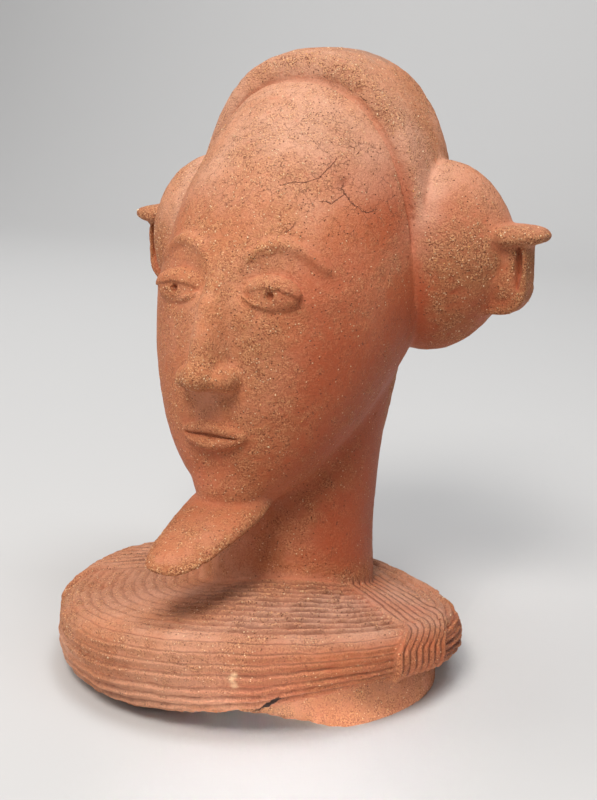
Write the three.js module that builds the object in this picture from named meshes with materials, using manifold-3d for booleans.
// A fired-clay head of a ruler, 240 mm tall, standing on its ring collar of strung beads.
// The whole thing is one solid of clay. Millimetres, +Z up.
//
// The forms are laid out from the middle of the collar, on the ground, with the face towards -Y and
// the figure's left towards +X. The finished solid is then moved until the origin lies on its
// underside, below the middle of its box.

import * as THREE from 'three';
import { mergeVertices } from 'three/addons/utils/BufferGeometryUtils.js';
import Module from 'manifold-3d';

const { lerp, smoothstep, degToRad } = THREE.MathUtils;

// Head: an egg that leans back, wider and squarer above its widest height than below it. Below it, the
// middle line, the width and the depth each shrink along a curve of their own.
const HEAD = {
  crownZ: 236,
  widestZ: 150,
  chinZ: 66,
  crownY: 55,
  widestY: 32,
  chinY: -14,
  halfWidth: 51,
  frontDepth: 62,
  backDepth: 54,
  domeRound: 2.4,
  planRound: 2.2,
  leanCurve: 1.2,
  heartHalf: 20,
  sides: 28,
  rings: 18,
};
const JAW_WIDTH = { curve: 1.75, round: 0.57 };
const JAW_DEPTH = { curve: 1.3, round: 0.6 };

// Hair: a smooth cap behind an arched front edge, thinning out down the temples.
const HAIR = { thick: 4.5, frontY: 33, napeZ: 112, templeLow: 150, templeHigh: 212, backY: 70 };
const HAIR_ROLL = {
  width: 4.6,
  height: 4.6,
  reach: 45.5,
  lowZ: 180,
  topZ: 231.5,
  y: 36,
  archRound: 0.8,
  blunt: 1.6,
  sides: 5,
  steps: 14,
};

// Side buns, and the ear-like lugs that stand out from them.
const BUN = { x: 50, y: 58, z: 160, halfWidth: 30, halfDepth: 27, halfHeight: 36, sides: 18, rings: 10 };
const LUG = {
  innerX: 62,
  rimX: 88.5,
  topZ: 168,
  bottomZ: 139,
  frontY: 51,
  depth: 11,
  cornerRound: 11,
  edgeRound: 1.5,
};
const LUG_SLOT = { x: 85.2, width: 2.6, lowZ: 149, depth: 3.5 };
const LUG_BOSS = { x: 79, z: 151, half: 5, depth: 3.5 };
const BRIM = {
  rootX: 50,
  tipX: 95.7,
  y: 57,
  halfDepth: 11.5,
  topZ: 171,
  thick: 5.4,
  planRound: 0.85,
  edgeRound: 0.6,
  sides: 14,
  rings: 6,
};

// Neck: a round column that leans back into the head.
const NECK = {
  radius: 34,
  y: 22,
  footZ: 20,
  headZ: 125,
  lean: 16,
  flare: 2.5,
  flareZ: 60,
  sides: 24,
  rings: 3,
};

// Collar: strands laid side by side, out over the top and down round the rim.
const COLLAR = {
  halfWidth: 82,
  front: 77,
  back: 71,
  neckRise: 0.8,
  topZ: 26,
  lowZ: 5,
  rimDepth: 13,
  rimRound: 0.8,
  topStrands: 11,
  rimStrands: 11,
  strandRelief: 1.1,
  sides: 32,
};

// The collar's top swells up at the figure's left front, and its lower edge rises a little further
// round, where it rides over the shoulder fragment.
const SWELL = { height: 11.5, angle: degToRad(-62), spread: degToRad(58) };
const LIFT = { height: 11, angle: degToRad(-28), spread: degToRad(42) };

// The broken stub of the shoulders that the collar rests on.
const STUB = { y: 9, halfWidth: 55, halfDepth: 50, topZ: 20 };

// Binding: a fan of wraps laid over the strands at each shoulder. Its front and rear edges are given
// as angles round the collar, at the neck and on the rim.
const BINDING = {
  frontNeck: degToRad(-18),
  rearNeck: degToRad(30),
  frontRim: degToRad(-20),
  rearRim: degToRad(7),
  wraps: 7,
  thick: 1.3,
  relief: 0.8,
  sunk: 3,
  endOver: degToRad(150),
  topSteps: 2,
  rimSteps: 5,
};

// Shoulder fragment that still hangs under the collar at the figure's left front.
const SHOULDER = {
  x: 14,
  y: -4,
  halfWidth: 63,
  halfDepth: 58,
  height: 34,
  breakX: 30,
  breakY: -46,
  breakTurn: degToRad(9),
  breakLean: degToRad(-33),
  sides: 20,
  rings: 8,
};

// Beard: a flat shovel that juts out from the chin.
const BEARD = {
  rootY: -8,
  rootZ: 74,
  tipY: -68,
  tipZ: 57,
  rootHalf: 19,
  tipHalf: 12.5,
  rootThick: 8,
  tipThick: 2.2,
  blunt: 3,
  sides: 16,
  rings: 10,
};

// Face, in plain proportions: eyes half way up the head, five eye widths across it, the foot of the
// nose half way from brow to chin, and the mouth a third of the way from there to the chin.
const FACE = { browZ: 169, topZ: 240 };
const EYE_WIDTH = (2 * HEAD.halfWidth) / 5;
const EYE_Z = (FACE.topZ + HEAD.chinZ) / 2;
const NOSE_Z = (FACE.browZ + HEAD.chinZ) / 2;
const MOUTH_Z = lerp(NOSE_Z, HEAD.chinZ, 1 / 3);

const ORBIT = { half: 15.5, deep: 8, tall: 11, rise: 2, stand: 5.2, sides: 12, rings: 8 };
const EYEBALL = { over: 1, deep: 5, tall: 6, sunk: 3, sides: 14, rings: 6 };
const LID = { upperBow: 5.6, lowerBow: 4.2, over: 1, lift: 0.2, lowerLift: -0.2 };
const LID_ROLL = { width: 1.6, height: 2.4, blunt: 2.5, sides: 6, steps: 8 };
const BROW = { inner: 0.4, outer: 1.8, innerDrop: 4, outerDrop: 9, bow: 7, lift: 0.2 };
const BROW_ROLL = { width: 2.2, height: 2.4, blunt: 3, sides: 6, steps: 10 };
const PUPIL = { radius: 1.9, long: 14, sides: 8 };
const NOSE = {
  topDrop: 2,
  stand: 14.5,
  bridgeStand: 4,
  footHalf: 8,
  bridgeHalf: 5.5,
  footRound: 8,
  topRound: 3,
  sides: 12,
  rings: 9,
};
const NOSE_TIP = { half: 6, tall: 5.2, proud: 0.8 };
const NOSE_WING = { x: 7.4, half: 4.6, deep: 7.6, lift: 2.5 };
const NOSTRIL = { x: 4.4, half: 2.4, deep: 3.2, tall: 2.6, drop: 0.5, lift: 6.5 };
const LIPS = { half: 15, lift: 0.4, overlap: 0.8 };
const UPPER_LIP = { width: 3, height: 3.2, blunt: 2, sides: 6, steps: 12 };
const LOWER_LIP = { width: 3.4, height: 3.8, blunt: 2, sides: 6, steps: 12 };
const CHIN = { y: -23, z: 77, half: 13, deep: 9.5, tall: 9, sides: 12, rings: 6 };

const CLAY = { colour: 0xb56a48, roughness: 0.85 };
const WELD = 1e-4;
const FAR = 400;

const wasm = await Module();
wasm.setup();

// Raises the size of a number to a power and keeps its sign.
function signedPower(value, power) {
  return Math.sign(value) * Math.abs(value) ** power;
}

// A ball whose points are moved to where pointAt(turn, rise) puts them. Turn goes once round, and
// rise goes from one pole at 0 to the other at 1.
function shaped(sides, rings, pointAt) {
  const geometry = new THREE.SphereGeometry(1, sides, rings);
  const { position, uv } = geometry.attributes;
  for (let i = 0; i < position.count; i += 1) {
    const point = pointAt(uv.getX(i), uv.getY(i));
    position.setXYZ(i, point.x, point.y, point.z);
  }
  return geometry;
}

// Turns a closed geometry into a solid, whichever way round its faces were wound.
function solid(geometry) {
  const bare = new THREE.BufferGeometry();
  bare.setAttribute('position', geometry.attributes.position);
  bare.setIndex(geometry.index);
  const welded = mergeVertices(bare, WELD);
  const corners = [0, 1, 2].map(() => new THREE.Vector3());
  const triangles = [];
  let volume = 0;
  for (let i = 0; i < welded.index.count; i += 3) {
    const triangle = [0, 1, 2].map((corner) => welded.index.getX(i + corner));
    if (new Set(triangle).size < 3) continue;
    triangle.forEach((vertex, corner) => {
      corners[corner].fromBufferAttribute(welded.attributes.position, vertex);
    });
    volume += corners[0].dot(corners[1].clone().cross(corners[2]));
    triangles.push(triangle);
  }
  if (volume < 0) triangles.forEach((triangle) => triangle.reverse());
  return new wasm.Manifold(
    new wasm.Mesh({
      numProp: 3,
      vertProperties: Float32Array.from(welded.attributes.position.array),
      triVerts: Uint32Array.from(triangles.flat()),
    }),
  );
}

// The same geometry on the figure's left and, mirrored, on its right.
function bothSides(geometry) {
  return [geometry, geometry.clone().scale(-1, 1, 1)].map(solid);
}

function join(solids) {
  return solids.reduce((whole, next) => whole.add(next));
}

// An ellipsoid, of the half sizes given as a vector.
function ellipsoid(centre, half, sides, rings) {
  const geometry = new THREE.SphereGeometry(1, sides, rings);
  return geometry.scale(half.x, half.y, half.z).translate(centre.x, centre.y, centre.z);
}

// A roll of clay laid along a path. Its section is an ellipse that stands `height` off the path
// along `out` and spreads `width` to each side, and both taper away at the ends.
function roll(pathAt, outAt, { width, height, blunt, sides, steps }) {
  const step = 1e-3;
  return shaped(sides, steps, (turn, rise) => {
    const along = lerp(step, 1 - step, rise);
    const ahead = pathAt(along + step).sub(pathAt(along - step));
    const out = outAt(along);
    const side = ahead.cross(out).normalize();
    const taper = (1 - Math.abs(2 * rise - 1) ** blunt) ** (1 / blunt);
    const angle = 2 * Math.PI * turn;
    return pathAt(along)
      .addScaledVector(side, width * taper * Math.cos(angle))
      .addScaledVector(out, height * taper * Math.sin(angle));
  });
}

// The level section of the head at a height: where its middle is and how far it reaches.
function headSection(z) {
  const above = z > HEAD.widestZ;
  const reach = above ? HEAD.crownZ - HEAD.widestZ : HEAD.widestZ - HEAD.chinZ;
  const rise = Math.min(1, Math.abs(z - HEAD.widestZ) / reach);
  const dome = (1 - rise ** HEAD.domeRound) ** (1 / HEAD.domeRound);
  if (above) {
    return {
      y: lerp(HEAD.widestY, HEAD.crownY, Math.sin((rise * Math.PI) / 2)),
      halfWidth: HEAD.halfWidth * dome,
      frontDepth: HEAD.frontDepth * dome,
      backDepth: HEAD.backDepth * dome,
    };
  }
  const depth = (1 - rise ** JAW_DEPTH.curve) ** JAW_DEPTH.round;
  return {
    y: lerp(HEAD.widestY, HEAD.chinY, rise ** HEAD.leanCurve),
    halfWidth: HEAD.halfWidth * (1 - rise ** JAW_WIDTH.curve) ** JAW_WIDTH.round,
    frontDepth: HEAD.frontDepth * depth,
    backDepth: HEAD.backDepth * depth,
  };
}

// The y of the skin in front of the head at a place across and up it.
function skinY(x, z) {
  const section = headSection(z);
  const across = Math.min(1, Math.abs(x) / section.halfWidth);
  return section.y - section.frontDepth * (1 - across ** HEAD.planRound) ** (1 / HEAD.planRound);
}

// The way out of the skin in front of the head.
function skinOut(x, z) {
  const step = 0.5;
  const slopeX = (skinY(x + step, z) - skinY(x - step, z)) / (2 * step);
  const slopeZ = (skinY(x, z + step) - skinY(x, z - step)) / (2 * step);
  return new THREE.Vector3(slopeX, -1, slopeZ).normalize();
}

function onSkin(x, z, lift = 0) {
  return new THREE.Vector3(x, skinY(x, z), z).addScaledVector(skinOut(x, z), lift);
}

// The head's egg, or the larger egg of the hair when growAt says how far out it stands.
function headEgg(growAt = () => 0) {
  return shaped(HEAD.sides, HEAD.rings, (turn, rise) => {
    const angle = 2 * Math.PI * turn;
    const level = -Math.cos(Math.PI * rise);
    const z = HEAD.widestZ + level * (level > 0 ? HEAD.crownZ - HEAD.widestZ : HEAD.widestZ - HEAD.chinZ);
    const section = headSection(z);
    const x = signedPower(Math.cos(angle), 2 / HEAD.planRound) * section.halfWidth;
    const deep = Math.sin(angle) < 0 ? section.frontDepth : section.backDepth;
    const y = section.y + signedPower(Math.sin(angle), 2 / HEAD.planRound) * deep;
    const heart = new THREE.Vector3(0, section.y, HEAD.widestZ + level * HEAD.heartHalf);
    const point = new THREE.Vector3(x, y, z);
    return point.addScaledVector(point.clone().sub(heart).normalize(), growAt(y, z));
  });
}

// How thick the hair lies at a place: full at the back, and fading down the temples in front.
function hairThickness(y, z) {
  const front = smoothstep(z, HAIR.templeLow, HAIR.templeHigh);
  return HAIR.thick * lerp(front, 1, smoothstep(y, HAIR.frontY, HAIR.backY));
}

function makeHair() {
  const behind = new THREE.BoxGeometry(FAR, FAR, FAR);
  behind.translate(0, HAIR.frontY + FAR / 2, HAIR.napeZ + FAR / 2);
  const cap = solid(headEgg(hairThickness)).intersect(solid(behind));

  // The front edge arches over the forehead from temple to temple.
  const edgeAt = (along) => {
    const angle = Math.PI * along;
    const z = lerp(HAIR_ROLL.lowZ, HAIR_ROLL.topZ, Math.sin(angle) ** HAIR_ROLL.archRound);
    return new THREE.Vector3(HAIR_ROLL.reach * Math.cos(angle), HAIR_ROLL.y, z);
  };
  const outAt = (along) => new THREE.Vector3(Math.cos(Math.PI * along), 0, Math.sin(Math.PI * along));
  return [cap, solid(roll(edgeAt, outAt, HAIR_ROLL))];
}

function makeBuns() {
  const centre = new THREE.Vector3(BUN.x, BUN.y, BUN.z);
  const half = new THREE.Vector3(BUN.halfWidth, BUN.halfDepth, BUN.halfHeight);
  return bothSides(ellipsoid(centre, half, BUN.sides, BUN.rings));
}

// A lug is a block with a rounded foot, slotted in front beside a small boss, under a flat brim.
function makeLugs() {
  const outline = new THREE.Shape();
  const round = LUG.edgeRound;
  const corner = LUG.cornerRound;
  outline.moveTo(LUG.innerX, LUG.topZ);
  outline.lineTo(LUG.rimX - round, LUG.topZ);
  outline.lineTo(LUG.rimX - round, LUG.bottomZ + corner);
  outline.absarc(LUG.rimX - round - corner, LUG.bottomZ + corner, corner, 0, -Math.PI / 2, true);
  outline.lineTo(LUG.innerX, LUG.bottomZ);
  const block = new THREE.ExtrudeGeometry(outline, {
    depth: LUG.depth - 2 * round,
    bevelSize: round,
    bevelThickness: round,
    bevelSegments: 1,
    curveSegments: 5,
  });
  block.rotateX(Math.PI / 2).translate(0, LUG.frontY + LUG.depth - round, 0);

  const slot = new THREE.CapsuleGeometry(LUG_SLOT.width / 2, LUG.topZ - LUG_SLOT.lowZ, 2, 6);
  slot.rotateX(Math.PI / 2).scale(1, (2 * LUG_SLOT.depth) / LUG_SLOT.width, 1);
  slot.translate(LUG_SLOT.x, LUG.frontY, (LUG.topZ + LUG_SLOT.lowZ) / 2);

  const boss = ellipsoid(
    new THREE.Vector3(LUG_BOSS.x, LUG.frontY, LUG_BOSS.z),
    new THREE.Vector3(LUG_BOSS.half, LUG_BOSS.depth, LUG_BOSS.half),
    8,
    6,
  );

  const half = (BRIM.tipX - BRIM.rootX) / 2;
  const brim = shaped(BRIM.sides, BRIM.rings, (turn, rise) => {
    const angle = 2 * Math.PI * turn;
    const fall = Math.PI * (rise - 0.5);
    const flat = signedPower(Math.cos(fall), BRIM.edgeRound);
    return new THREE.Vector3(
      BRIM.rootX + half + half * signedPower(Math.cos(angle), BRIM.planRound) * flat,
      BRIM.y + BRIM.halfDepth * signedPower(Math.sin(angle), BRIM.planRound) * flat,
      BRIM.topZ - BRIM.thick / 2 + (BRIM.thick / 2) * Math.sin(fall),
    );
  });
  const blocks = bothSides(block);
  const slots = bothSides(slot);
  const bosses = bothSides(boss);
  return blocks.map((part, side) => part.subtract(slots[side]).add(bosses[side])).concat(bothSides(brim));
}

function makeNeck() {
  const tall = NECK.headZ - NECK.footZ;
  const geometry = new THREE.CylinderGeometry(1, 1, tall, NECK.sides, NECK.rings);
  geometry.rotateX(Math.PI / 2).translate(0, 0, NECK.footZ + tall / 2);
  const { position } = geometry.attributes;
  for (let i = 0; i < position.count; i += 1) {
    const z = position.getZ(i);
    const radius = NECK.radius + NECK.flare * (1 - smoothstep(z, NECK.footZ, NECK.flareZ));
    const lean = NECK.lean * smoothstep(z, NECK.footZ, NECK.headZ);
    position.setXY(i, position.getX(i) * radius, position.getY(i) * radius + NECK.y + lean);
  }
  return solid(geometry);
}

// One level ring of the collar each: how far out it lies, its height, and how far its strand
// stands proud. `out` runs from 0 at the neck to 1 at the rim's middle line, and `over` goes on
// from there round the rim.
function collarStations() {
  const stations = [];
  const half = COLLAR.strandRelief / 2;
  for (let i = 0; i < 2 * COLLAR.topStrands; i += 1) {
    const out = i / (2 * COLLAR.topStrands);
    stations.push({ out, over: 0, proud: i % 2 ? half : -half });
  }
  for (let i = 0; i <= 2 * COLLAR.rimStrands; i += 1) {
    const over = (Math.PI * i) / (2 * COLLAR.rimStrands);
    stations.push({ out: 1, over, proud: i % 2 ? half : -half });
  }
  return stations;
}

// The heights of the collar's rim at an angle round it: its top and its lower edge.
function rimHeights(angle) {
  const hump = (at) => {
    const turn = Math.atan2(Math.sin(angle - at.angle), Math.cos(angle - at.angle));
    return at.height * Math.exp(-((turn / at.spread) ** 2));
  };
  return { top: COLLAR.topZ + hump(SWELL), low: COLLAR.lowZ + hump(LIFT) };
}

function collarPoint(angle, { out, over, proud }) {
  const cos = Math.cos(angle);
  const sin = Math.sin(angle);
  const neck = new THREE.Vector2(NECK.radius * cos, NECK.y + NECK.radius * sin);
  const edge = new THREE.Vector2(COLLAR.halfWidth * cos, (sin < 0 ? COLLAR.front : COLLAR.back) * sin);
  const outward = edge.clone().normalize();
  const middle = edge.clone().addScaledVector(outward, -COLLAR.rimDepth);
  const flat = neck.lerp(middle, out);
  const outOver = signedPower(Math.sin(over), COLLAR.rimRound);
  const upOver = signedPower(Math.cos(over), COLLAR.rimRound);
  flat.addScaledVector(outward, COLLAR.rimDepth * outOver + proud * Math.sin(over));
  const { top, low } = rimHeights(angle);
  const half = (top - low) / 2;
  const z = top + COLLAR.neckRise * (1 - out ** 2) - half + half * upOver + proud * Math.cos(over);
  return new THREE.Vector3(flat.x, flat.y, z);
}

function makeCollar() {
  const stations = collarStations();
  const rings = stations.length + 1;
  return shaped(COLLAR.sides, rings, (turn, rise) => {
    const angle = 2 * Math.PI * turn;
    const ring = Math.round((1 - rise) * rings);
    if (ring === 0) return new THREE.Vector3(0, NECK.y, COLLAR.topZ);
    if (ring === rings) return new THREE.Vector3(0, 0, STUB.topZ);
    return collarPoint(angle, stations[ring - 1]);
  });
}

// The binding of one shoulder, a slab bent over the collar. `across` runs from its front edge to its
// rear edge, and the rows run from the neck out over the rim.
function makeBinding(onLeft) {
  const columns = 2 * BINDING.wraps;
  const rows = BINDING.topSteps + BINDING.rimSteps;
  const slab = new THREE.BoxGeometry(1, 1, 1, columns, rows, 1);
  const { position } = slab.attributes;
  for (let i = 0; i < position.count; i += 1) {
    const across = position.getX(i) + 0.5;
    const row = Math.round((position.getY(i) + 0.5) * rows);
    const out = Math.min(1, row / BINDING.topSteps);
    const over = BINDING.endOver * Math.max(0, (row - BINDING.topSteps) / BINDING.rimSteps);
    const front = lerp(BINDING.frontNeck, BINDING.frontRim, out);
    const rear = lerp(BINDING.rearNeck, BINDING.rearRim, out);
    const crest = Math.round(across * columns) % 2 ? BINDING.relief : 0;
    const proud = position.getZ(i) > 0 ? BINDING.thick + crest : -BINDING.sunk;
    const angle = lerp(front, rear, across);
    const point = collarPoint(onLeft ? angle : Math.PI - angle, { out, over, proud });
    position.setXYZ(i, point.x, point.y, point.z);
  }
  return solid(slab);
}

function makeStub() {
  const geometry = new THREE.CylinderGeometry(1, 1, STUB.topZ, COLLAR.sides / 2);
  geometry.rotateX(Math.PI / 2).scale(STUB.halfWidth, STUB.halfDepth, 1);
  return solid(geometry.translate(0, STUB.y, STUB.topZ / 2));
}

// A dome under the collar, broken off along a face that leans back in front.
function makeShoulder() {
  const dome = ellipsoid(
    new THREE.Vector3(SHOULDER.x, SHOULDER.y, 0),
    new THREE.Vector3(SHOULDER.halfWidth, SHOULDER.halfDepth, SHOULDER.height),
    SHOULDER.sides,
    SHOULDER.rings,
  );
  const kept = new THREE.BoxGeometry(FAR, FAR, FAR).translate(0, FAR / 2, 0);
  kept.rotateX(SHOULDER.breakLean).rotateZ(SHOULDER.breakTurn).translate(SHOULDER.breakX, SHOULDER.breakY, 0);
  const below = new THREE.BoxGeometry(FAR, FAR, FAR).translate(FAR / 2, 0, STUB.topZ - FAR / 2);
  return solid(dome).intersect(solid(kept)).intersect(solid(below));
}

function makeBeard() {
  const geometry = shaped(BEARD.sides, BEARD.rings, (turn, rise) => {
    const angle = 2 * Math.PI * turn;
    const taper = (1 - Math.abs(2 * rise - 1) ** BEARD.blunt) ** (1 / BEARD.blunt);
    const half = lerp(BEARD.rootHalf, BEARD.tipHalf, rise);
    const thick = lerp(BEARD.rootThick, BEARD.tipThick, rise);
    return new THREE.Vector3(
      half * taper * Math.cos(angle),
      lerp(BEARD.rootY, BEARD.tipY, rise),
      lerp(BEARD.rootZ, BEARD.tipZ, rise) + thick * taper * Math.sin(angle),
    );
  });
  return solid(geometry);
}

// A roll that lies on the face, from one place across and up it to another, bowed up by `bow`.
function faceRoll(from, to, bow, lift, size) {
  const placeAt = (along) => ({
    x: lerp(from.x, to.x, along),
    z: lerp(from.z, to.z, along) + bow * Math.sin(Math.PI * along),
  });
  const pathAt = (along) => {
    const { x, z } = placeAt(along);
    return onSkin(x, z, lift);
  };
  const outAt = (along) => {
    const { x, z } = placeAt(along);
    return skinOut(x, z);
  };
  return roll(pathAt, outAt, size);
}

// Shallow hollows that the eyes lie in.
function makeOrbits() {
  const middle = onSkin(EYE_WIDTH, EYE_Z + ORBIT.rise, ORBIT.stand);
  const half = new THREE.Vector3(ORBIT.half, ORBIT.deep, ORBIT.tall);
  return bothSides(ellipsoid(middle, half, ORBIT.sides, ORBIT.rings));
}

// Almond eyes between two rolled lids, under arched brows.
function makeEyes() {
  const middle = onSkin(EYE_WIDTH, EYE_Z, -EYEBALL.sunk);
  const half = new THREE.Vector3(EYE_WIDTH / 2 + EYEBALL.over, EYEBALL.deep, EYEBALL.tall);
  const ball = ellipsoid(middle, half, EYEBALL.sides, EYEBALL.rings);

  const inner = { x: EYE_WIDTH / 2 - LID.over, z: EYE_Z };
  const outer = { x: (EYE_WIDTH * 3) / 2 + LID.over, z: EYE_Z };
  const upper = faceRoll(inner, outer, LID.upperBow, LID.lift, LID_ROLL);
  const lower = faceRoll(inner, outer, -LID.lowerBow, LID.lowerLift, LID_ROLL);

  const browIn = { x: EYE_WIDTH * BROW.inner, z: FACE.browZ - BROW.innerDrop };
  const browOut = { x: EYE_WIDTH * BROW.outer, z: FACE.browZ - BROW.outerDrop };
  const brow = faceRoll(browIn, browOut, BROW.bow, BROW.lift, BROW_ROLL);
  return [ball, upper, lower, brow].flatMap(bothSides);
}

function makePupils() {
  const middle = onSkin(EYE_WIDTH, EYE_Z);
  const pupil = new THREE.CylinderGeometry(PUPIL.radius, PUPIL.radius, PUPIL.long, PUPIL.sides);
  return bothSides(pupil.translate(middle.x, middle.y, middle.z));
}

// A straight nose, a half round section that widens and rises from the brow down to its foot, with a
// ball between two wings.
function makeNose() {
  const bridge = shaped(NOSE.sides, NOSE.rings, (turn, rise) => {
    const angle = 2 * Math.PI * turn;
    const taper = ((1 - (1 - rise) ** NOSE.footRound) * (1 - rise ** NOSE.topRound)) ** 0.5;
    const across = lerp(NOSE.footHalf, NOSE.bridgeHalf, rise) * taper;
    const deep = lerp(NOSE.stand, NOSE.bridgeStand, rise) * taper;
    const z = lerp(NOSE_Z, FACE.browZ - NOSE.topDrop, rise);
    return new THREE.Vector3(across * Math.cos(angle), skinY(0, z) + deep * Math.sin(angle), z);
  });

  const tipHalf = new THREE.Vector3(NOSE_TIP.half, NOSE_TIP.half, NOSE_TIP.tall);
  const tipStand = NOSE.stand + NOSE_TIP.proud - NOSE_TIP.half;
  const tip = ellipsoid(onSkin(0, NOSE_Z + NOSE_TIP.tall, tipStand), tipHalf, 10, 6);

  const wingHalf = new THREE.Vector3(NOSE_WING.half, NOSE_WING.deep, NOSE_WING.half);
  const wingAt = onSkin(NOSE_WING.x, NOSE_Z + NOSE_WING.half, NOSE_WING.lift);
  const wing = ellipsoid(wingAt, wingHalf, 10, 6);
  return [solid(bridge), solid(tip), ...bothSides(wing)];
}

function makeNostrils() {
  const place = onSkin(NOSTRIL.x, NOSE_Z - NOSTRIL.drop, NOSTRIL.lift);
  const half = new THREE.Vector3(NOSTRIL.half, NOSTRIL.deep, NOSTRIL.tall);
  return bothSides(ellipsoid(place, half, 8, 6));
}

// Two lips that overlap along the mouth, and the ball of the chin under them.
function makeMouth() {
  const from = { x: -LIPS.half, z: MOUTH_Z };
  const to = { x: LIPS.half, z: MOUTH_Z };
  const upper = faceRoll(from, to, UPPER_LIP.width * LIPS.overlap, LIPS.lift, UPPER_LIP);
  const lower = faceRoll(from, to, -LOWER_LIP.width * LIPS.overlap, LIPS.lift, LOWER_LIP);
  const chinHalf = new THREE.Vector3(CHIN.half, CHIN.deep, CHIN.tall);
  const chin = ellipsoid(new THREE.Vector3(0, CHIN.y, CHIN.z), chinHalf, CHIN.sides, CHIN.rings);
  return [upper, lower, chin].map(solid);
}

function makeHead() {
  const skull = join([solid(headEgg()), makeNeck(), ...makeHair(), ...makeBuns(), ...makeLugs()]);
  const face = join([...makeEyes(), ...makeNose(), ...makeMouth(), makeBeard()]);
  const holes = join([...makePupils(), ...makeNostrils()]);
  return skull.subtract(join(makeOrbits())).add(face).subtract(holes);
}

// Cuts the solid off at the ground and moves it over the origin.
function stand(whole) {
  const above = new THREE.BoxGeometry(FAR, FAR, FAR).translate(0, 0, FAR / 2);
  const cut = whole.intersect(solid(above)).getMesh();
  const geometry = new THREE.BufferGeometry();
  geometry.setAttribute('position', new THREE.BufferAttribute(Float32Array.from(cut.vertProperties), 3));
  geometry.setIndex(new THREE.BufferAttribute(Uint32Array.from(cut.triVerts), 1));
  geometry.computeBoundingBox();
  const middle = geometry.boundingBox.getCenter(new THREE.Vector3());
  return geometry.translate(-middle.x, -middle.y, 0);
}

const bindings = [true, false].map(makeBinding);
const collar = join([solid(makeCollar()), ...bindings, makeStub(), makeShoulder()]);
const whole = makeHead().add(collar);
const clay = new THREE.MeshStandardMaterial({
  color: CLAY.colour,
  roughness: CLAY.roughness,
  metalness: 0,
  flatShading: true,
});
const kingHead = new THREE.Mesh(stand(whole), clay);
kingHead.name = 'king_head';

const part = new THREE.Group();
part.add(kingHead);

export default part;
